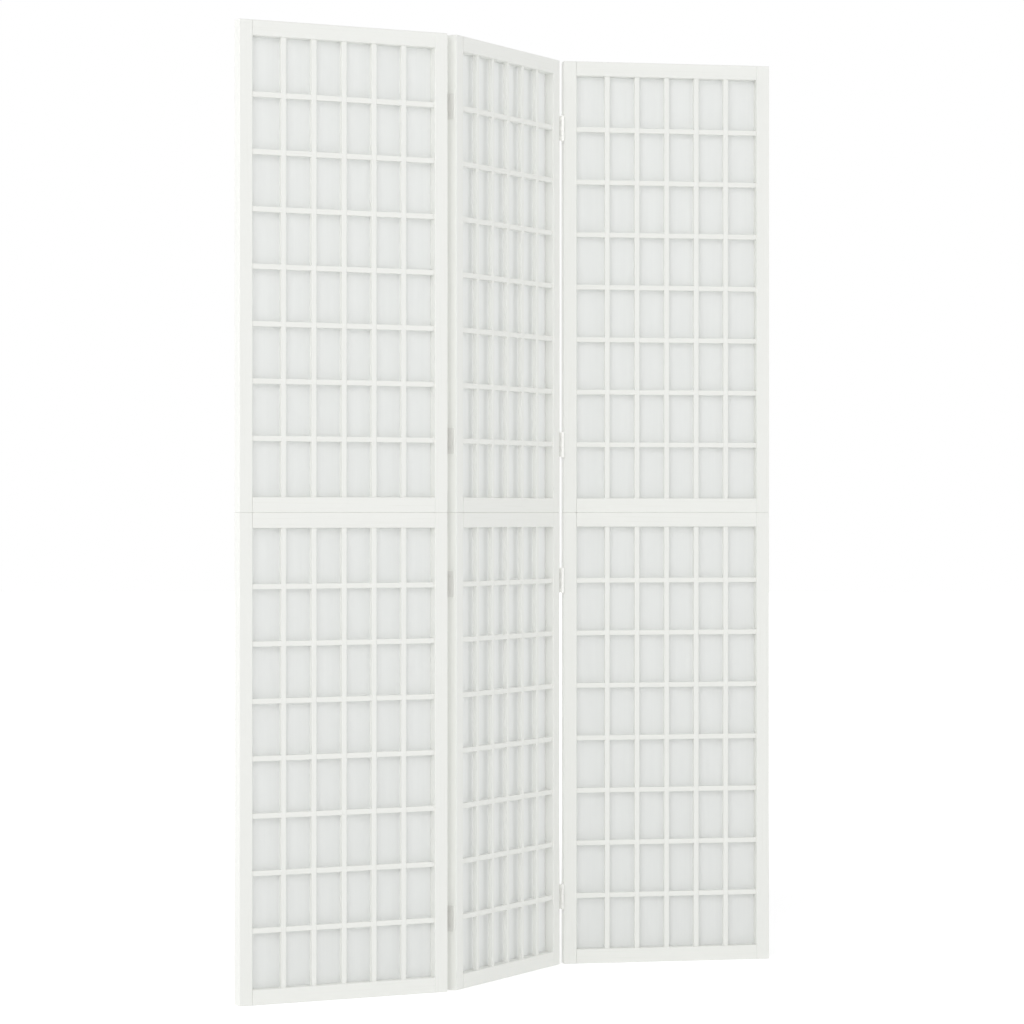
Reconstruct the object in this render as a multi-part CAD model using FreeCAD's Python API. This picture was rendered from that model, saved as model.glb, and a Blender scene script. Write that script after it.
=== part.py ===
import FreeCAD, Part
import math
import os

# Folding lattice screen: hinged panels, each made of a lower and an upper framed half.
# Millimetres. X runs along the row of panels, Y from the front to the back, Z up.
# One panel is built in its own frame: x across it, y from its front face to its back, z up.

# Frame of one half panel
panel_width = 400.0
half_height = 850.0
stile_width = 25.0
rail_height = 27.0
edge_round = 1.5

# Lattice of half-lapped bars
upright_count = 5
cross_count = 7
bar_width = 9.0
bar_thickness = 8.0
bar_setback = 3.0
bar_tenon = 5.0
bar_round = 0.6
grid_inset = 2.0

# Fabric behind the lattice, and the beads that hold it in its rebate
fabric_gap = 7.0
rebate_width = 6.0
rebate_depth = 4.0
fabric_thickness = 0.4
fabric_edge_gap = 1.0
bead_round = 1.5

# Dowels in the frame corners and across the seam between the halves
dowel_radius = 4.0
dowel_length = 30.0
dowel_chamfer = 1.0
dowel_fit = 0.05
dowel_end_gap = 0.5
seam_dowel_shares = (0.25, 0.75)

# Countersunk wood screws, used for the hinges and for the joining plates
screw_length = 16.0
screw_head_radius = 3.0
screw_shank_radius = 1.5
screw_point = 4.0
screw_fit = 0.05
recess_width = 0.9
recess_span = 3.4
recess_depth = 0.9

# Joining plates across the seam, on the back of the stiles
plate_width = 14.0
plate_thickness = 1.5
plate_corner = 4.0
plate_end = 7.0
plate_screw_pitch = 11.0
plate_screw_margin = 4.5

# Butt hinges
hinge_from_end = 127.5
leaf_height = 46.0
leaf_thickness = 1.5
leaf_inset = 5.6
leaf_corner = 1.5
leaf_screw_end = 10.0
barrel_radius = 3.5
pin_radius = 2.0
pin_head_radius = 2.8
pin_head_height = 1.0
knuckle_count = 5
knuckle_gap = 0.3
pin_clearance = 0.05
barrel_clearance = 0.3

# Pose at rest, degrees: how the middle panel stands, and how far each fold is closed from flat
middle_heading = 61.9
left_fold_angle = 34.5
right_fold_angle = 50.8

# One overrun serves every cut that passes through a face, and no round takes more of a wall than this share
overrun = 1.0
round_share = 0.45

# Places worked out from the sizes above
opening_width = panel_width - 2 * stile_width
opening_height = half_height - 2 * rail_height
bar_back = bar_setback + bar_thickness
fabric_plane = bar_back + fabric_gap
fabric_back = fabric_plane + fabric_thickness
frame_thickness = fabric_plane + rebate_depth
upright_pitch = (opening_width - 2 * grid_inset) / (upright_count + 1)
cross_pitch = (opening_height - 2 * grid_inset) / (cross_count + 1)
dowel_depth = dowel_length / 2
screw_head_height = screw_head_radius - screw_shank_radius
plate_centre = (stile_width - rebate_width) / 2
plate_screw_near = rail_height / 2 + dowel_radius + plate_screw_margin
plate_screw_far = plate_screw_near + plate_screw_pitch
plate_half_length = plate_screw_far + plate_end
leaf_reach = frame_thickness - leaf_inset
leaf_width = barrel_radius + leaf_reach
leaf_inner = barrel_radius - leaf_thickness
fold_axes = {
    ("left", "front"): FreeCAD.Vector(-barrel_radius, -barrel_radius, 0),
    ("left", "back"): FreeCAD.Vector(-barrel_radius, frame_thickness + barrel_radius, 0),
    ("right", "front"): FreeCAD.Vector(panel_width + barrel_radius, -barrel_radius, 0),
    ("right", "back"): FreeCAD.Vector(panel_width + barrel_radius, frame_thickness + barrel_radius, 0),
}

# The fold at each hinged edge of a panel, and the faces that come together in each fold
panel_folds = {
    "left": {"right": "left_fold"},
    "middle": {"left": "left_fold", "right": "right_fold"},
    "right": {"left": "right_fold"},
}
fold_faces = {"left_fold": "back", "right_fold": "front"}
halves = ("lower", "upper")
half_bases = {"lower": 0.0, "upper": half_height}

origin = FreeCAD.Vector(0, 0, 0)
x_axis = FreeCAD.Vector(1, 0, 0)
y_axis = FreeCAD.Vector(0, 1, 0)
z_axis = FreeCAD.Vector(0, 0, 1)
full_turn = 360.0


# Small helpers

def block(low, high):
    """Box between two corners given as (x, y, z)."""
    size = [top - bottom for bottom, top in zip(low, high)]
    return Part.makeBox(*size, FreeCAD.Vector(*low))


def rod(radius, length, base, direction):
    return Part.makeCylinder(radius, length, base, direction)


def cut_all(body, tools):
    return body.cut(tools) if tools else body


def moved(shape, offset):
    shape = shape.copy()
    shape.translate(offset)
    return shape


def mirrored_across(shape):
    """The same piece at the other side of the panel."""
    return shape.mirror(FreeCAD.Vector(panel_width / 2, 0, 0), x_axis)


def mirrored_up(shape):
    """The same piece at the other end of the half panel."""
    return shape.mirror(FreeCAD.Vector(0, 0, half_height / 2), z_axis)


def long_edges(box, axis):
    """Edges of a box that run along one axis."""
    edges = []
    for edge in box.Edges:
        run = edge.Vertexes[-1].Point - edge.Vertexes[0].Point
        if abs(run.dot(axis)) > run.Length / 2:
            edges.append(edge)
    return edges


def eased(radius, wall):
    """A round's radius, limited by the wall that it is made on."""
    return min(radius, wall * round_share)


def upright_places():
    middle = panel_width / 2
    first = middle - upright_pitch * (upright_count - 1) / 2
    return [first + upright_pitch * index for index in range(upright_count)]


def cross_places():
    middle = half_height / 2
    first = middle - cross_pitch * (cross_count - 1) / 2
    return [first + cross_pitch * index for index in range(cross_count)]


def hinge_heights():
    return [hinge_from_end, half_height - hinge_from_end]


# Fasteners

def screw():
    """Countersunk screw with its head's face at the origin, pointing along +Z."""
    outline = [
        FreeCAD.Vector(0, 0, 0),
        FreeCAD.Vector(screw_head_radius, 0, 0),
        FreeCAD.Vector(screw_shank_radius, 0, screw_head_height),
        FreeCAD.Vector(screw_shank_radius, 0, screw_length - screw_point),
        FreeCAD.Vector(0, 0, screw_length),
        FreeCAD.Vector(0, 0, 0),
    ]
    body = Part.Face(Part.makePolygon(outline)).revolve(origin, z_axis, full_turn)
    half_span = recess_span / 2
    half_width = recess_width / 2
    slots = [
        block((-half_span, -half_width, -overrun), (half_span, half_width, recess_depth)),
        block((-half_width, -half_span, -overrun), (half_width, half_span, recess_depth)),
    ]
    return body.cut(slots)


def screw_hole():
    """Room for one screw: countersink, clearance and pilot hole."""
    length = screw_length + screw_fit
    shank = rod(screw_shank_radius + screw_fit, length + overrun, FreeCAD.Vector(0, 0, -overrun), z_axis)
    wide = screw_head_radius + screw_fit
    narrow = screw_shank_radius + screw_fit
    return shank.fuse(Part.makeCone(wide, narrow, screw_head_height, origin, z_axis))


def pointed(shape, head, direction):
    """A screw or its hole, set with the head at a point and the tip along a direction."""
    shape = shape.copy()
    shape.Placement = FreeCAD.Placement(head, FreeCAD.Rotation(z_axis, direction))
    return shape


def dowel(centre, direction):
    start = centre - direction * dowel_depth
    body = rod(dowel_radius, dowel_length, start, direction)
    rims = [edge for edge in body.Edges if edge.Closed]
    return body.makeChamfer(eased(dowel_chamfer, dowel_radius), rims)


def dowel_hole(mouth, direction):
    """Blind hole from its mouth inwards along a direction."""
    depth = dowel_depth + dowel_end_gap
    return rod(dowel_radius + dowel_fit, depth + overrun, mouth - direction * overrun, direction)


# Frame of one half panel

def corner_dowel_mouth():
    """Where the lower dowel of a corner crosses from the left stile into the rail."""
    return FreeCAD.Vector(stile_width, frame_thickness / 2, rail_height / 2)


def seam_dowel_mouths():
    return [FreeCAD.Vector(panel_width * share, frame_thickness / 2, 0) for share in seam_dowel_shares]


def plate_screw_heads():
    """Screw heads of one joining plate on a left stile, heights counted from the seam."""
    heights = [-plate_screw_far, -plate_screw_near, plate_screw_near, plate_screw_far]
    return [FreeCAD.Vector(plate_centre, frame_thickness + plate_thickness, height) for height in heights]


def stile(seam_height):
    """Left stile of a half panel, with its plate's screw holes at the seam end."""
    body = block((0, 0, 0), (stile_width, frame_thickness, half_height))
    body = body.makeFillet(eased(edge_round, min(stile_width, frame_thickness)), body.Edges)
    low = rail_height - rebate_width
    high = half_height - low
    tools = [block((stile_width - rebate_width, fabric_plane, low),
                   (stile_width + overrun, frame_thickness + overrun, high))]
    for place in cross_places():
        tools.append(block((stile_width - bar_tenon, bar_setback, place - bar_width / 2),
                           (stile_width + overrun, bar_back, place + bar_width / 2)))
    lower_hole = dowel_hole(corner_dowel_mouth(), -x_axis)
    tools += [lower_hole, mirrored_up(lower_hole)]
    for head in plate_screw_heads():
        tools.append(pointed(screw_hole(), head + z_axis * seam_height, -y_axis))
    return cut_all(body, tools)


def edge_screw_holes(edge, face):
    """Pilot holes of the hinge screws along one edge of a half panel."""
    holes = [pointed(screw_hole(), head, x_axis) for head in leaf_screw_heads()]
    return [on_edge(hole, edge, face, height) for height in hinge_heights() for hole in holes]


def rail(at_seam):
    """Bottom rail of a half panel, with dowel holes underneath where it sits on the seam."""
    body = block((stile_width, 0, 0), (panel_width - stile_width, frame_thickness, rail_height))
    body = body.makeFillet(eased(edge_round, min(rail_height, frame_thickness)), long_edges(body, x_axis))
    tools = [block((stile_width - overrun, fabric_plane, rail_height - rebate_width),
                   (panel_width - stile_width + overrun, frame_thickness + overrun, rail_height + overrun))]
    for place in upright_places():
        tools.append(block((place - bar_width / 2, bar_setback, rail_height - bar_tenon),
                           (place + bar_width / 2, bar_back, rail_height + overrun)))
    end_hole = dowel_hole(corner_dowel_mouth(), x_axis)
    tools += [end_hole, mirrored_across(end_hole)]
    if at_seam:
        tools += [dowel_hole(mouth, z_axis) for mouth in seam_dowel_mouths()]
    return cut_all(body, tools)


# Lattice, fabric and beads of one half panel

def lapped_bar(low, high, along, notches):
    """Bar with eased front edges, notched for the bars that cross it."""
    body = block(low, high)
    front = [edge for edge in long_edges(body, along) if edge.CenterOfMass.y < (low[1] + high[1]) / 2]
    return cut_all(body.makeFillet(eased(bar_round, bar_width), front), notches)


def upright_bars():
    """Bars that run up the half panel, notched behind."""
    lap = bar_setback + bar_thickness / 2
    bars = []
    for place in upright_places():
        left = place - bar_width / 2
        right = place + bar_width / 2
        notches = []
        for height in cross_places():
            notches.append(block((left - overrun, lap, height - bar_width / 2),
                                 (right + overrun, bar_back + overrun, height + bar_width / 2)))
        low = (left, bar_setback, rail_height - bar_tenon)
        high = (right, bar_back, half_height - rail_height + bar_tenon)
        bars.append(lapped_bar(low, high, z_axis, notches))
    return bars


def cross_bars():
    """Bars that run across the half panel, notched in front."""
    lap = bar_setback + bar_thickness / 2
    bars = []
    for height in cross_places():
        bottom = height - bar_width / 2
        top = height + bar_width / 2
        notches = []
        for place in upright_places():
            notches.append(block((place - bar_width / 2, bar_setback - overrun, bottom - overrun),
                                 (place + bar_width / 2, lap, top + overrun)))
        low = (stile_width - bar_tenon, bar_setback, bottom)
        high = (panel_width - stile_width + bar_tenon, bar_back, top)
        bars.append(lapped_bar(low, high, x_axis, notches))
    return bars


def fabric():
    """Flat sheet that lies on the floor of the rebate."""
    lap = rebate_width - fabric_edge_gap
    low = (stile_width - lap, fabric_plane, rail_height - lap)
    high = (panel_width - stile_width + lap, fabric_back, half_height - rail_height + lap)
    return block(low, high)


def eased_bead(low, high, along, inner):
    """Bead whose back edge is rounded where it faces the opening."""
    body = block(low, high)
    corner = max(long_edges(body, along), key=lambda edge: edge.CenterOfMass.dot(y_axis + inner))
    return body.makeFillet(eased(bead_round, min(rebate_width, frame_thickness - fabric_back)), [corner])


def beads():
    """Two long beads in the stiles and two short ones between them in the rails."""
    low = rail_height - rebate_width
    long_bead = eased_bead((stile_width - rebate_width, fabric_back, low),
                           (stile_width, frame_thickness, half_height - low), z_axis, x_axis)
    short_bead = eased_bead((stile_width, fabric_back, low),
                            (panel_width - stile_width, frame_thickness, rail_height), x_axis, z_axis)
    return [long_bead, mirrored_across(long_bead), short_bead, mirrored_up(short_bead)]


# Joining plates across the seam

def joining_plate():
    """Plate on the left stile's back, with its middle at the seam's height."""
    low = (plate_centre - plate_width / 2, frame_thickness, -plate_half_length)
    high = (plate_centre + plate_width / 2, frame_thickness + plate_thickness, plate_half_length)
    body = block(low, high)
    body = body.makeFillet(eased(plate_corner, plate_width), long_edges(body, y_axis))
    return cut_all(body, [pointed(screw_hole(), head, -y_axis) for head in plate_screw_heads()])


# Hinges, built with the pin's axis on Z, the stile's edge at x = barrel_radius and the leaf along +Y

def leaf_screw_heads():
    """Screw heads of one leaf."""
    depth = barrel_radius + leaf_reach / 2
    height = leaf_height / 2 - leaf_screw_end
    return [FreeCAD.Vector(leaf_inner, depth, -height), FreeCAD.Vector(leaf_inner, depth, height)]


def knuckle_span(index):
    """Bottom and top of one knuckle, with the running gap at its inner ends."""
    pitch = leaf_height / knuckle_count
    bottom = index * pitch - leaf_height / 2
    top = bottom + pitch
    if index > 0:
        bottom += knuckle_gap / 2
    if index < knuckle_count - 1:
        top -= knuckle_gap / 2
    return bottom, top


def knuckle(index):
    """Leaf metal rolled round the pin over one knuckle, with the strip that leads to it."""
    bottom, top = knuckle_span(index)
    meet = math.sqrt(barrel_radius ** 2 - leaf_inner ** 2)
    corners = [
        FreeCAD.Vector(barrel_radius, 0, bottom),
        FreeCAD.Vector(barrel_radius, leaf_width / 2, bottom),
        FreeCAD.Vector(leaf_inner, leaf_width / 2, bottom),
        FreeCAD.Vector(leaf_inner, meet, bottom),
    ]
    far_side = FreeCAD.Vector(-barrel_radius, 0, bottom)
    edges = [Part.LineSegment(start, end).toShape() for start, end in zip(corners, corners[1:])]
    edges.append(Part.Arc(corners[-1], far_side, corners[0]).toShape())
    return Part.Face(Part.Wire(edges)).extrude(z_axis * (top - bottom))


def leaf(own_knuckles):
    """Hinge leaf with some of the knuckles, bored for the pin and drilled for its screws."""
    notch = math.sqrt((barrel_radius + barrel_clearance) ** 2 - leaf_inner ** 2)
    plate = block((leaf_inner, notch, -leaf_height / 2), (barrel_radius, leaf_width, leaf_height / 2))
    corners = [edge for edge in long_edges(plate, x_axis) if edge.CenterOfMass.y > leaf_width / 2]
    plate = plate.makeFillet(eased(leaf_corner, leaf_reach), corners)
    body = plate.fuse([knuckle(index) for index in own_knuckles]).removeSplitter()
    bore_start = FreeCAD.Vector(0, 0, -leaf_height / 2 - overrun)
    tools = [rod(pin_radius + pin_clearance, leaf_height + 2 * overrun, bore_start, z_axis)]
    tools += [pointed(screw_hole(), head, x_axis) for head in leaf_screw_heads()]
    return cut_all(body, tools)


def hinge_pin():
    """Pin with a button head at each end."""
    shank = rod(pin_radius, leaf_height, FreeCAD.Vector(0, 0, -leaf_height / 2), z_axis)
    head = rod(pin_head_radius, pin_head_height, FreeCAD.Vector(0, 0, leaf_height / 2), z_axis)
    rim = [edge for edge in head.Edges if edge.Closed and edge.CenterOfMass.z > leaf_height / 2]
    head = head.makeFillet(pin_head_height / 2, rim)
    return shank.fuse([head, head.mirror(origin, z_axis)]).removeSplitter()


def on_edge(shape, edge, face, height):
    """Hinge piece set on one edge of a panel, with its pin outside the face that it folds on."""
    if edge == "right":
        shape = shape.mirror(origin, x_axis)
    if face == "back":
        shape = shape.mirror(origin, y_axis)
    return moved(shape, fold_axes[edge, face] + z_axis * height)


def all_hinge_heights():
    return [half_bases[half] + height for half in halves for height in hinge_heights()]


# One whole panel

def half_pieces(panel, half):
    """Frame, lattice and fabric of one half, standing on z = 0."""
    left_stile = stile(seam_height=half_height if half == "lower" else 0)
    stiles = {"left": left_stile, "right": mirrored_across(left_stile)}
    for edge, fold in panel_folds[panel].items():
        stiles[edge] = cut_all(stiles[edge], edge_screw_holes(edge, fold_faces[fold]))
    return {
        "left_stile": [stiles["left"]],
        "right_stile": [stiles["right"]],
        "top_rail": [mirrored_up(rail(at_seam=half == "lower"))],
        "bottom_rail": [rail(at_seam=half == "upper")],
        "upright_bars": upright_bars(),
        "cross_bars": cross_bars(),
        "fabric": [fabric()],
    }


def panel_dowels():
    """Corner dowels of both halves, then those across the seam."""
    corner = dowel(corner_dowel_mouth(), x_axis)
    side = [corner, mirrored_up(corner)]
    corners = side + [mirrored_across(piece) for piece in side]
    dowels = [moved(piece, z_axis * half_bases[half]) for half in halves for piece in corners]
    return dowels + [dowel(mouth + z_axis * half_height, z_axis) for mouth in seam_dowel_mouths()]


def panel_plates():
    plate = moved(joining_plate(), z_axis * half_height)
    return [plate, mirrored_across(plate)]


def panel_screws(panel):
    """Screws of the joining plates, then those of the hinge leaves."""
    side = [pointed(screw(), head + z_axis * half_height, -y_axis) for head in plate_screw_heads()]
    screws = side + [mirrored_across(piece) for piece in side]
    hinge_screws = [pointed(screw(), head, x_axis) for head in leaf_screw_heads()]
    for edge, fold in panel_folds[panel].items():
        for height in all_hinge_heights():
            screws += [on_edge(piece, edge, fold_faces[fold], height) for piece in hinge_screws]
    return screws


def panel_beads():
    return [moved(bead, z_axis * half_bases[half]) for half in halves for bead in beads()]


def panel_nodes(panel):
    """Named groups of solids of one panel, without its hinges."""
    nodes = {}
    for half in halves:
        for name, solids in half_pieces(panel, half).items():
            nodes[f"{panel}_{half}_{name}"] = [moved(solid, z_axis * half_bases[half]) for solid in solids]
    nodes[f"{panel}_beads"] = panel_beads()
    nodes[f"{panel}_dowels"] = panel_dowels()
    nodes[f"{panel}_joining_plates"] = panel_plates()
    nodes[f"{panel}_screws"] = panel_screws(panel)
    return nodes


def hinge_nodes(panel):
    """Leaves on the edges of a panel; the middle panel also carries the pins."""
    carries_pins = panel == "middle"
    first_knuckle = 0 if carries_pins else 1
    metal = leaf(range(first_knuckle, knuckle_count, 2))
    nodes = {}
    for edge, fold in panel_folds[panel].items():
        face = fold_faces[fold]
        heights = all_hinge_heights()
        nodes[f"{fold}_{panel}_leaves"] = [on_edge(metal, edge, face, height) for height in heights]
        if carries_pins:
            nodes[f"{fold}_pins"] = [on_edge(hinge_pin(), edge, face, height) for height in heights]
    return nodes


# The screen in its pose at rest

def standing(heading, own_point, point):
    """Placement of a panel with a heading, its own point brought to a given point."""
    rotation = FreeCAD.Rotation(z_axis, heading)
    return FreeCAD.Placement(point - rotation.multVec(own_point), rotation)


def panel_placements():
    middle = standing(middle_heading, origin, origin)
    left_axis = middle.multVec(fold_axes["left", "back"])
    right_axis = middle.multVec(fold_axes["right", "front"])
    return {
        "left": standing(middle_heading - left_fold_angle, fold_axes["right", "back"], left_axis),
        "middle": middle,
        "right": standing(middle_heading - right_fold_angle, fold_axes["left", "front"], right_axis),
    }


def placed(nodes, placement):
    matrix = placement.toMatrix()
    return {name: Part.makeCompound([solid.transformed(matrix, True) for solid in solids])
            for name, solids in nodes.items()}


def bottom_centre(shapes):
    """Middle of the floor under the whole screen."""
    box = FreeCAD.BoundBox()
    for shape in shapes:
        box.add(shape.optimalBoundingBox(False))
    return FreeCAD.Vector(box.Center.x, box.Center.y, box.ZMin)


def main():
    os.makedirs("parts", exist_ok=True)
    placements = panel_placements()
    nodes = {}
    for panel, placement in placements.items():
        nodes.update(placed(panel_nodes(panel), placement))
        nodes.update(placed(hinge_nodes(panel), placement))
    shift = -bottom_centre(nodes.values())
    for name, shape in nodes.items():
        moved(shape, shift).exportStep(f"parts/{name}.step")
    print("left fold axis", placements["middle"].multVec(fold_axes["left", "back"]) + shift)
    print("right fold axis", placements["middle"].multVec(fold_axes["right", "front"]) + shift)
    rail_middle = FreeCAD.Vector(panel_width / 2, frame_thickness / 2, 0)
    for panel, placement in placements.items():
        print(panel, "rail middle on the floor", placement.multVec(rail_middle) + shift)
    print(len(nodes), "nodes")


if __name__ == "__main__":
    main()
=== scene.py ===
"""Paint, cloth, metal and stage for a folding screen of three hinged lattice panels."""

import math

import bmesh
import bpy
from bpy.props import FloatProperty, FloatVectorProperty, PointerProperty
from mathutils import Matrix, Vector, noise


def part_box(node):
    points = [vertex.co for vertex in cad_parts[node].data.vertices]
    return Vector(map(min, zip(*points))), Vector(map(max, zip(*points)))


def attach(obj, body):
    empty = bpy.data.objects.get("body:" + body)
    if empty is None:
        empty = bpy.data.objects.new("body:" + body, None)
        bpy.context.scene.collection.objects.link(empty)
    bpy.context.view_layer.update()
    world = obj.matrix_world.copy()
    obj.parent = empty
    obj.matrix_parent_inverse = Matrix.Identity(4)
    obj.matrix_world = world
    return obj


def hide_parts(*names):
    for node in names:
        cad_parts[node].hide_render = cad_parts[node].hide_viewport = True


bl_info = {
    "name": "Folding lattice screen",
    "version": (1, 0, 0),
    "blender": (4, 5, 0),
    "location": "View3D > Sidebar > Folding screen",
    "description": "Paint, cloth, metal and stage for a folding screen of three hinged lattice panels",
    "category": "Object",
}

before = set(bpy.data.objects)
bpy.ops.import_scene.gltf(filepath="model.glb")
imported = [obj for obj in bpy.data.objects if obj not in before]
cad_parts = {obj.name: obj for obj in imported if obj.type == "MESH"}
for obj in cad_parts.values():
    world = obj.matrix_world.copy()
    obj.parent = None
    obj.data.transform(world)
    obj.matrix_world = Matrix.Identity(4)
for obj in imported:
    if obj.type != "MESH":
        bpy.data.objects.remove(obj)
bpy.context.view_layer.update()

# Each panel's heading, left edge to right edge, from +X towards +Y as the screen stands
PANEL_HEADINGS = {
    "left": math.radians(27.4),
    "middle": math.radians(61.9),
    "right": math.radians(11.1),
}
HALVES = ("lower", "upper")
MM = 0.001

# Half the height of the screen, in metres: the lamps look at this height
MIDDLE_HEIGHT = 0.85
# Side length and place of each lamp, in metres; the stage settings hold their powers
LAMPS = {
    "front_lamp": (6, (-2.86, -8.82, 4.6)),
    "right_lamp": (2.5, (9.62, -0.84, 3.44)),
    "left_lamp": (1, (-9.1, -4.05, 1.72)),
}
CAMERA_PLACE = (-0.0055, -6.2318, 0.8509)
CAMERA_REACH = 200
SENSOR_WIDTH = 36
FLOOR_REACH = 30
# The floor's own glow in the picture, near the screen and far from it, with the distances in metres
NEAR_FLOOR = 1.5
FAR_FLOOR = 4
NEAR_GLOW = 0.22
FAR_GLOW = 0.86
# Glow that is added for every ray, so that the floor also lights the screen from below
FLOOR_GLOW = 0.14


def linear(hex_colour):
    """Linear red, green and blue of an sRGB hex colour."""
    shares = [int(hex_colour[i:i + 2], 16) / 255 for i in (0, 2, 4)]
    return tuple(c / 12.92 if c <= 0.04045 else ((c + 0.055) / 1.055) ** 2.4 for c in shares)


def add_node(tree, kind, inputs, **settings):
    """Adds a shader node with its settings. An input is a plain value or the socket that feeds it."""
    node = tree.nodes.new("ShaderNode" + kind)
    for name, value in settings.items():
        setattr(node, name, value)
    for name, value in inputs.items():
        if isinstance(value, bpy.types.NodeSocket):
            tree.links.new(value, node.inputs[name])
        else:
            node.inputs[name].default_value = value
    return node


def mix_colours(tree, share, first, second):
    """A blend of two colours, by the share of the second. The node has a socket for each kind of value: its
    colours are sockets 6 and 7, and the blend is output 2."""
    inputs = {0: share, 6: (*first, 1), 7: (*second, 1)}
    return add_node(tree, "Mix", inputs, data_type="RGBA").outputs[2]


def new_material(name):
    """A new material with its node tree and its shader node."""
    material = bpy.data.materials.new(name)
    material.use_nodes = True
    tree = material.node_tree
    return material, tree, tree.nodes["Principled BSDF"]


def dress(node, material):
    """Gives a CAD node a material."""
    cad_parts[node].material_slots[0].material = material


class PaintSettings(bpy.types.PropertyGroup):
    """The painted woodwork."""

    colour: FloatVectorProperty(
        name="Paint",
        description="Colour of the paint on frames, bars and beads",
        subtype="COLOR",
        min=0,
        max=1,
        default=linear("F1F2EE"),
    )
    # Painted shade: this darker colour is laid into the sunk grain streaks of the paint
    grain_colour: FloatVectorProperty(
        name="Grain",
        description="Colour of the paint where it has sunk into the grain",
        subtype="COLOR",
        min=0,
        max=1,
        default=linear("E8E9E3"),
    )
    grain_width: FloatProperty(
        name="Grain width",
        description="Width of one streak of grain",
        unit="LENGTH",
        default=2.5 * MM,
    )
    grain_length: FloatProperty(
        name="Grain length",
        description="Length of one streak of grain",
        unit="LENGTH",
        default=160 * MM,
    )
    grain_depth: FloatProperty(
        name="Grain depth",
        description="How deep the grain shows in the paint",
        unit="LENGTH",
        default=0.06 * MM,
    )


class ClothSettings(bpy.types.PropertyGroup):
    """The six sheets of cloth."""

    colour: FloatVectorProperty(
        name="Cloth",
        description="Colour of the yarn",
        subtype="COLOR",
        min=0,
        max=1,
        default=linear("F5F6F5"),
    )
    # Painted shade: this darker colour is laid in the gaps between the yarns
    gap_shade_colour: FloatVectorProperty(
        name="Gaps",
        description="Colour between the yarns",
        subtype="COLOR",
        min=0,
        max=1,
        default=linear("F2F3F2"),
    )
    width: FloatProperty(
        name="Width",
        description="Width of a sheet as cut",
        unit="LENGTH",
        default=360 * MM,
    )
    height: FloatProperty(
        name="Height",
        description="Height of a sheet as cut",
        unit="LENGTH",
        default=806 * MM,
    )
    thickness: FloatProperty(
        name="Thickness",
        description="Thickness of the cloth",
        unit="LENGTH",
        default=0.4 * MM,
    )
    lap: FloatProperty(
        name="Lap",
        description="Width of the flat edge: the part that the beads hold and a little more",
        unit="LENGTH",
        default=6 * MM,
    )
    thread_pitch: FloatProperty(
        name="Thread pitch",
        description="Distance from one yarn to the next",
        unit="LENGTH",
        default=0.9 * MM,
    )
    ripple_height: FloatProperty(
        name="Ripple height",
        description="How far the stretched cloth wanders from a flat sheet",
        unit="LENGTH",
        default=0.5 * MM,
    )
    ripple_length: FloatProperty(
        name="Ripple length",
        description="Size of the cloth's slow waves",
        unit="LENGTH",
        default=130 * MM,
    )


class MetalSettings(bpy.types.PropertyGroup):
    """Hinge leaves, pins, screws and joining plates."""

    zinc_colour: FloatVectorProperty(
        name="Zinc plate",
        description="Colour of the plated hinges and screws",
        subtype="COLOR",
        min=0,
        max=1,
        default=linear("E9E9E6"),
    )
    steel_colour: FloatVectorProperty(
        name="Steel",
        description="Colour of the plain joining plates",
        subtype="COLOR",
        min=0,
        max=1,
        default=linear("C6C7C6"),
    )
    mark_width: FloatProperty(
        name="Mark width",
        description="Width of the fine marks left by rolling",
        unit="LENGTH",
        default=0.4 * MM,
    )


class DowelSettings(bpy.types.PropertyGroup):
    """The dowels inside the joints."""

    colour: FloatVectorProperty(
        name="Beech",
        description="Colour of the bare wood",
        subtype="COLOR",
        min=0,
        max=1,
        default=linear("D2AE84"),
    )
    grain_colour: FloatVectorProperty(
        name="Flecks",
        description="Colour of the wood's dark flecks",
        subtype="COLOR",
        min=0,
        max=1,
        default=linear("B08558"),
    )


class StageSettings(bpy.types.PropertyGroup):
    """Floor, light and camera."""

    floor_colour: FloatVectorProperty(
        name="Floor",
        description="Colour of the pale floor",
        subtype="COLOR",
        min=0,
        max=1,
        default=linear("FAFAFA"),
    )
    fill: FloatProperty(
        name="Fill",
        description="Strength of the even light from all sides",
        min=0,
        default=0.6,
    )
    front_lamp: FloatProperty(
        name="Front lamp",
        description="Power of the soft lamp behind the camera and to its left",
        unit="POWER",
        min=0,
        default=257,
    )
    right_lamp: FloatProperty(
        name="Right lamp",
        description="Power of the soft lamp at the right that lights the middle panel",
        unit="POWER",
        min=0,
        default=109,
    )
    left_lamp: FloatProperty(
        name="Left lamp",
        description="Power of the lamp at the left that brightens the edges of the panels",
        unit="POWER",
        min=0,
        default=150,
    )
    lens: FloatProperty(
        name="Lens",
        description="Focal length of the camera",
        unit="CAMERA",
        min=1,
        default=120.67,
    )


class PaintWoodwork(bpy.types.Operator):
    """Paints stiles, rails, bars and beads"""

    bl_idname = "folding_screen.paint_woodwork"
    bl_label = "Paint woodwork"

    def execute(self, context):
        settings = context.scene.folding_screen_paint
        for panel, heading in PANEL_HEADINGS.items():
            across = settings.grain_width
            along = settings.grain_length
            upright_grain = (across, across, along)
            level_grain = (along, across, across)
            upright = painted_wood(panel + "_upright_painted_wood", settings, heading, upright_grain)
            level = painted_wood(panel + "_level_painted_wood", settings, heading, level_grain)
            for half in HALVES:
                for piece in ("left_stile", "right_stile", "upright_bars"):
                    dress(f"{panel}_{half}_{piece}", upright)
                for piece in ("top_rail", "bottom_rail", "cross_bars"):
                    dress(f"{panel}_{half}_{piece}", level)
            dress(panel + "_beads", upright)
        return {"FINISHED"}


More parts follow.
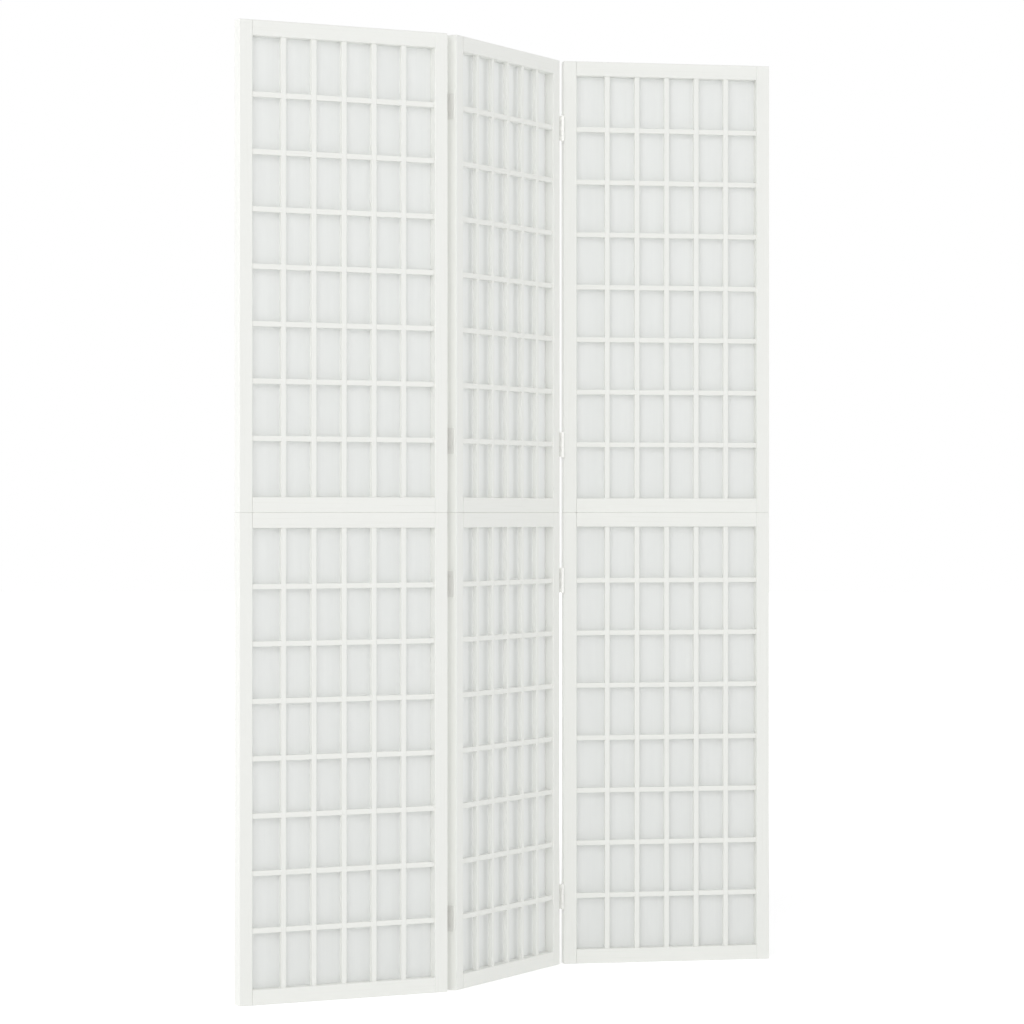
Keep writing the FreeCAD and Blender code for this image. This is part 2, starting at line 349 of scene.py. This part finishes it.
def painted_wood(name, settings, heading, grain_size):
    """Planed softwood under sprayed satin paint: an even warm white with a soft sheen, in which fine grain
    along each piece still shows as faint sunk streaks. The streaks are also painted a little darker, as
    painted shade in the sunk grain. Grain is drawn about twice as wide as it is, to show."""
    material, tree, shader = new_material(name)
    place = add_node(tree, "TexCoord", {}).outputs["Object"]
    along = add_node(
        tree,
        "Mapping",
        {"Vector": place, "Rotation": (0, 0, heading), "Scale": grain_size},
        vector_type="TEXTURE",
    ).outputs["Vector"]
    grain = add_node(
        tree,
        "TexNoise",
        {"Vector": along, "Scale": 1, "Detail": 4, "Roughness": 0.6, "Distortion": 0.3},
    ).outputs["Fac"]
    # One mask for the grain's real sunk relief and for the painted shade laid into it
    sunk_and_shaded = add_node(
        tree,
        "MapRange",
        {"Value": grain, "From Min": 0.52, "From Max": 0.75, "To Min": 0, "To Max": 0.4},
        interpolation_type="SMOOTHSTEP",
    ).outputs["Result"]
    # Painted shade: the paint turns darker where the grain is sunk
    colour = mix_colours(tree, sunk_and_shaded, settings.colour, settings.grain_colour)
    patch_size = 60 * MM
    patches = add_node(
        tree,
        "TexNoise",
        {"Vector": place, "Scale": 1 / patch_size, "Detail": 3},
    ).outputs["Fac"]
    gloss = add_node(
        tree,
        "MapRange",
        {"Value": patches, "From Min": 0.3, "From Max": 0.7, "To Min": 0.4, "To Max": 0.5},
    ).outputs["Result"]
    relief = add_node(
        tree,
        "Bump",
        {"Height": sunk_and_shaded, "Strength": 0.6, "Distance": settings.grain_depth},
        invert=True,
    ).outputs["Normal"]
    tree.links.new(colour, shader.inputs["Base Color"])
    tree.links.new(gloss, shader.inputs["Roughness"])
    tree.links.new(relief, shader.inputs["Normal"])
    shader.inputs["IOR"].default_value = 1.48
    return material


class StretchCloth(bpy.types.Operator):
    """Makes the six sheets of cloth behind the bars"""

    bl_idname = "folding_screen.stretch_cloth"
    bl_label = "Stretch cloth"

    def execute(self, context):
        settings = context.scene.folding_screen_cloth
        material = woven_cloth(settings)
        for panel, heading in PANEL_HEADINGS.items():
            for half in HALVES:
                name = f"{panel}_{half}"
                low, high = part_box(name + "_fabric")
                place = Matrix.Translation((low + high) / 2) @ Matrix.Rotation(heading, 4, "Z")
                sheet = cloth_sheet(name + "_cloth", settings, place)
                sheet.data.materials.append(material)
                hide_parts(name + "_fabric")
                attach(sheet, panel + "_panel")
        return {"FINISHED"}


def cloth_sheet(name, settings, place):
    """A sheet held flat along its edges, with slow shallow waves between them."""
    mesh = bpy.data.meshes.new(name)
    bm = bmesh.new()
    bm.loops.layers.uv.new("weave")
    columns, rows = 60, 120
    bmesh.ops.create_grid(bm, x_segments=columns, y_segments=rows, size=0.5, calc_uvs=True)
    bmesh.ops.scale(bm, vec=(settings.width, settings.height, 1), verts=bm.verts)
    for vert in bm.verts:
        vert.co.z = wave_height(vert.co, settings, place.translation)
    bmesh.ops.rotate(bm, cent=(0, 0, 0), matrix=Matrix.Rotation(math.pi / 2, 3, "X"), verts=bm.verts)
    bmesh.ops.transform(bm, matrix=place, verts=bm.verts)
    for face in bm.faces:
        face.smooth = True
    bm.to_mesh(mesh)
    bm.free()
    sheet = bpy.data.objects.new(name, mesh)
    bpy.context.scene.collection.objects.link(sheet)
    thickness = sheet.modifiers.new("thickness", "SOLIDIFY")
    thickness.thickness = settings.thickness
    thickness.offset = 0
    return sheet


def wave_height(point, settings, start):
    """Height of the cloth's waves at a point of the flat sheet, dying out towards the held edges."""
    inside = min(settings.width / 2 - abs(point.x), settings.height / 2 - abs(point.y)) - settings.lap
    share = min(max(inside / (settings.ripple_length / 3), 0), 1)
    slow = Vector((point.x, point.y / 2, 0)) / settings.ripple_length
    fade = share * share * (3 - 2 * share)
    # The sheet's own place moves its waves, so that no two sheets are alike
    return settings.ripple_height * fade * noise.noise(slow + start * 10)


def woven_cloth(settings):
    """Plain-woven cotton and polyester, bleached: a matt, slightly cool white with uneven yarns that show
    as faint upright streaks. The gaps between the yarns are painted a little darker, as painted shade.
    The threads are drawn twice as coarse as they are, to show from close by. Part of the light comes
    through from the other side."""
    material, tree, shader = new_material("woven_cloth")
    weave = add_node(tree, "UVMap", {}, uv_map="weave").outputs["UV"]
    pitch = settings.thread_pitch
    threads = add_node(
        tree,
        "Mapping",
        {"Vector": weave, "Scale": (settings.width / pitch, settings.height / pitch, 1)},
    ).outputs["Vector"]
    # A wave texture at this scale makes one wave for each thread
    one_wave = 2 * math.pi / 20
    wave = {"Vector": threads, "Scale": one_wave, "Distortion": 0.8, "Detail": 2, "Detail Scale": 0.3}
    warp = add_node(tree, "TexWave", wave, bands_direction="X").outputs["Fac"]
    weft = add_node(tree, "TexWave", wave, bands_direction="Y").outputs["Fac"]
    yarn = add_node(tree, "Math", {0: warp, 1: weft}, operation="MULTIPLY").outputs[0]
    slub_width = 3 * MM
    slub_length = 220 * MM
    long_yarn = add_node(
        tree,
        "Mapping",
        {"Vector": weave, "Scale": (settings.width / slub_width, settings.height / slub_length, 1)},
    ).outputs["Vector"]
    slubs = add_node(tree, "TexNoise", {"Vector": long_yarn, "Scale": 1, "Detail": 3}).outputs["Fac"]
    body = add_node(
        tree,
        "Math",
        {0: yarn, 1: 0.35, 2: slubs},
        operation="MULTIPLY_ADD",
    ).outputs[0]
    # Mixes painted shade between the yarns with the yarns' real uneven slub streaks
    shade = add_node(
        tree,
        "MapRange",
        {"Value": body, "From Min": 0.25, "From Max": 0.85},
    ).outputs["Result"]
    # Painted shade between the yarns, from the gap colour
    colour = mix_colours(tree, shade, settings.gap_shade_colour, settings.colour)
    yarn_relief = {"Height": yarn, "Strength": 0.4, "Distance": 0.1 * MM}
    relief = add_node(tree, "Bump", yarn_relief).outputs["Normal"]
    lit_through = add_node(tree, "BsdfTranslucent", {"Color": colour, "Normal": relief}).outputs["BSDF"]
    through_share = 0.42
    both = add_node(
        tree,
        "MixShader",
        {0: through_share, 1: shader.outputs["BSDF"], 2: lit_through},
    ).outputs["Shader"]
    tree.links.new(both, tree.nodes["Material Output"].inputs["Surface"])
    tree.links.new(colour, shader.inputs["Base Color"])
    tree.links.new(relief, shader.inputs["Normal"])
    shader.inputs["Roughness"].default_value = 0.9
    shader.inputs["IOR"].default_value = 1.5
    shader.inputs["Specular IOR Level"].default_value = 0.2
    shader.inputs["Sheen Weight"].default_value = 0.15
    shader.inputs["Sheen Roughness"].default_value = 0.5
    return material


class PlateMetalwork(bpy.types.Operator):
    """Finishes hinges, pins, plates and screws"""

    bl_idname = "folding_screen.plate_metalwork"
    bl_label = "Plate metalwork"

    def execute(self, context):
        settings = context.scene.folding_screen_metal
        zinc = rolled_metal("zinc_plated_steel", settings.zinc_colour, settings.mark_width)
        steel = rolled_metal("plain_steel", settings.steel_colour, settings.mark_width)
        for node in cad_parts:
            if node.endswith(("_leaves", "_pins", "_screws")):
                dress(node, zinc)
            elif node.endswith("_joining_plates"):
                dress(node, steel)
        return {"FINISHED"}


def rolled_metal(name, colour, mark_width):
    """Rolled sheet steel, pale with dull zinc plate or a plainer grey without: satin rather than
    mirror-like, with fine upright rolling marks. The marks are drawn coarser than they are, to show."""
    material, tree, shader = new_material(name)
    place = add_node(tree, "TexCoord", {}).outputs["Object"]
    mark_length = 30 * mark_width
    marks = add_node(
        tree,
        "Mapping",
        {"Vector": place, "Scale": (mark_width, mark_width, mark_length)},
        vector_type="TEXTURE",
    ).outputs["Vector"]
    rolled = add_node(tree, "TexNoise", {"Vector": marks, "Scale": 1, "Detail": 2}).outputs["Fac"]
    gloss = add_node(
        tree,
        "MapRange",
        {"Value": rolled, "From Min": 0.3, "From Max": 0.7, "To Min": 0.42, "To Max": 0.54},
    ).outputs["Result"]
    mark_relief = {"Height": rolled, "Strength": 0.2, "Distance": 0.02 * MM}
    relief = add_node(tree, "Bump", mark_relief).outputs["Normal"]
    tree.links.new(gloss, shader.inputs["Roughness"])
    tree.links.new(relief, shader.inputs["Normal"])
    shader.inputs["Base Color"].default_value = (*colour, 1)
    shader.inputs["Metallic"].default_value = 0.6
    return material


class ColourDowels(bpy.types.Operator):
    """Finishes the dowels inside the joints"""

    bl_idname = "folding_screen.colour_dowels"
    bl_label = "Colour dowels"

    def execute(self, context):
        material = bare_beech(context.scene.folding_screen_dowels)
        for panel in PANEL_HEADINGS:
            dress(panel + "_dowels", material)
        return {"FINISHED"}


def bare_beech(settings):
    """Turned beech, bare: a pale tan wood with short darker flecks along the grain."""
    material, tree, shader = new_material("bare_beech")
    place = add_node(tree, "TexCoord", {}).outputs["Object"]
    fleck_width = 0.5 * MM
    fleck_length = 4 * MM
    along = add_node(
        tree,
        "Mapping",
        {"Vector": place, "Scale": (fleck_width, fleck_width, fleck_length)},
        vector_type="TEXTURE",
    ).outputs["Vector"]
    flecks = add_node(tree, "TexNoise", {"Vector": along, "Scale": 1, "Detail": 3}).outputs["Fac"]
    colour = mix_colours(tree, flecks, settings.colour, settings.grain_colour)
    tree.links.new(colour, shader.inputs["Base Color"])
    shader.inputs["Roughness"].default_value = 0.6
    shader.inputs["IOR"].default_value = 1.5
    return material


class SetStage(bpy.types.Operator):
    """Makes the floor, the light and the camera"""

    bl_idname = "folding_screen.set_stage"
    bl_label = "Set stage"

    def execute(self, context):
        settings = context.scene.folding_screen_stage
        scene = context.scene
        scene.view_settings.view_transform = "Standard"
        lay_floor(settings)
        light_room(scene, settings)
        for name, (size, place) in LAMPS.items():
            hang_lamp(scene, name, getattr(settings, name), size, place)
        stand_camera(scene, settings)
        return {"FINISHED"}


def seen_share(tree):
    """1 for camera, glossy and transmission rays, otherwise 0."""
    path = add_node(tree, "LightPath", {}).outputs
    either = add_node(
        tree,
        "Math",
        {0: path["Is Camera Ray"], 1: path["Is Glossy Ray"]},
        operation="MAXIMUM",
    ).outputs[0]
    return add_node(
        tree,
        "Math",
        {0: either, 1: path["Is Transmission Ray"]},
        operation="MAXIMUM",
    ).outputs[0]


def lay_floor(settings):
    """A wide pale floor that meets the white background and keeps the shadow of the screen."""
    mesh = bpy.data.meshes.new("floor")
    bm = bmesh.new()
    bmesh.ops.create_grid(bm, x_segments=1, y_segments=1, size=FLOOR_REACH)
    bm.to_mesh(mesh)
    bm.free()
    floor = bpy.data.objects.new("floor", mesh)
    bpy.context.scene.collection.objects.link(floor)
    material, tree, shader = new_material("matt_white_floor")
    place = add_node(tree, "TexCoord", {}).outputs["Object"]
    distance = add_node(tree, "VectorMath", {0: place}, operation="LENGTH").outputs["Value"]
    away = add_node(
        tree,
        "MapRange",
        {
            "Value": distance,
            "From Min": NEAR_FLOOR,
            "From Max": FAR_FLOOR,
            "To Min": NEAR_GLOW,
            "To Max": FAR_GLOW,
        },
        interpolation_type="SMOOTHSTEP",
    ).outputs["Result"]
    glow = add_node(
        tree,
        "Math",
        {0: away, 1: seen_share(tree), 2: FLOOR_GLOW},
        operation="MULTIPLY_ADD",
    ).outputs[0]
    tree.links.new(glow, shader.inputs["Emission Strength"])
    shader.inputs["Emission Color"].default_value = (1, 1, 1, 1)
    shader.inputs["Base Color"].default_value = (*settings.floor_colour, 1)
    shader.inputs["Roughness"].default_value = 1
    shader.inputs["Specular IOR Level"].default_value = 0
    mesh.materials.append(material)


def light_room(scene, settings):
    """Even light from all sides, in front of a white background."""
    world = bpy.data.worlds.new("white_room")
    world.use_nodes = True
    scene.world = world
    tree = world.node_tree
    strength = add_node(
        tree,
        "MapRange",
        {"Value": seen_share(tree), "To Min": settings.fill, "To Max": 1},
    ).outputs["Result"]
    background = tree.nodes["Background"]
    background.inputs["Color"].default_value = (1, 1, 1, 1)
    tree.links.new(strength, background.inputs["Strength"])


def hang_lamp(scene, name, power, size, place):
    """A square lamp that looks at the middle of the screen."""
    lamp = bpy.data.lights.new(name, "AREA")
    lamp.shape = "SQUARE"
    lamp.size = size
    lamp.energy = power
    hung = bpy.data.objects.new(name, lamp)
    scene.collection.objects.link(hung)
    hung.location = place
    aim = Vector((0, 0, MIDDLE_HEIGHT)) - hung.location
    hung.rotation_euler = aim.to_track_quat("-Z", "Y").to_euler()


def stand_camera(scene, settings):
    """A level camera in front of the screen at half its height."""
    camera = bpy.data.objects.new("camera", bpy.data.cameras.new("camera"))
    scene.collection.objects.link(camera)
    camera.data.sensor_width = SENSOR_WIDTH
    camera.data.lens = settings.lens
    camera.data.clip_end = CAMERA_REACH
    camera.location = CAMERA_PLACE
    camera.rotation_euler = (math.pi / 2, 0, 0)
    scene.camera = camera


class FoldingScreenPanel(bpy.types.Panel):
    """Lists the steps and their settings"""

    bl_idname = "VIEW3D_PT_folding_screen"
    bl_label = "Folding screen"
    bl_space_type = "VIEW_3D"
    bl_region_type = "UI"
    bl_category = "Folding screen"

    def draw(self, context):
        for operator, settings in STEPS:
            box = self.layout.box()
            box.operator(operator.bl_idname)
            group = getattr(context.scene, settings)
            for name in group.bl_rna.properties.keys():
                if name not in ("rna_type", "name"):
                    box.prop(group, name)


SETTINGS = {
    "folding_screen_paint": PaintSettings,
    "folding_screen_cloth": ClothSettings,
    "folding_screen_metal": MetalSettings,
    "folding_screen_dowels": DowelSettings,
    "folding_screen_stage": StageSettings,
}
STEPS = (
    (PaintWoodwork, "folding_screen_paint"),
    (StretchCloth, "folding_screen_cloth"),
    (PlateMetalwork, "folding_screen_metal"),
    (ColourDowels, "folding_screen_dowels"),
    (SetStage, "folding_screen_stage"),
)


def register():
    for name, group in SETTINGS.items():
        bpy.utils.register_class(group)
        setattr(bpy.types.Scene, name, PointerProperty(type=group))
    for operator, settings in STEPS:
        bpy.utils.register_class(operator)
    bpy.utils.register_class(FoldingScreenPanel)


def unregister():
    bpy.utils.unregister_class(FoldingScreenPanel)
    for operator, settings in reversed(STEPS):
        bpy.utils.unregister_class(operator)
    for name, group in reversed(SETTINGS.items()):
        delattr(bpy.types.Scene, name)
        bpy.utils.unregister_class(group)


def main():
    register()
    bpy.ops.folding_screen.paint_woodwork()
    bpy.ops.folding_screen.stretch_cloth()
    bpy.ops.folding_screen.plate_metalwork()
    bpy.ops.folding_screen.colour_dowels()
    bpy.ops.folding_screen.set_stage()


if __name__ == "__main__":
    main()
